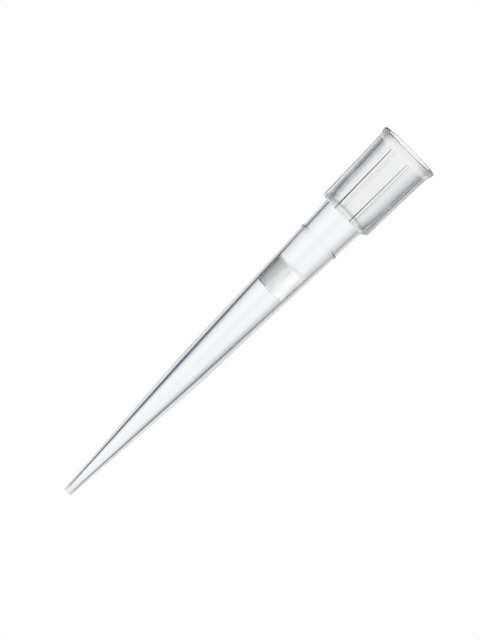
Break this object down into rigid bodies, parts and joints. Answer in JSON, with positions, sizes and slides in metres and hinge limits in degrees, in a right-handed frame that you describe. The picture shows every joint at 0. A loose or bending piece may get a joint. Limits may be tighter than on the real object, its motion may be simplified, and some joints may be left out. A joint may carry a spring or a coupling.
{
  "type": "filter pipette tip",
  "caption": "Clear conical pipette tip with a ribbed, lipped collar for the pipette's cone and a porous filter plug in its bore.",
  "frame": {"origin": "middle of the mouth's rim, which the tip stands on", "axes": "+Z along the bore from the mouth to the point; one collar rib lies along +X"},
  "size_m": [0.0074, 0.0074, 0.053],
  "materials": {
    "clear_polypropylene": "clear, slightly hazy",
    "porous_polyethylene": "fine open pores"
  },
  "bodies": {
    "root": {"tip_body": "clear_polypropylene", "filter_plug": "porous_polyethylene"}
  },
  "joints": []
}
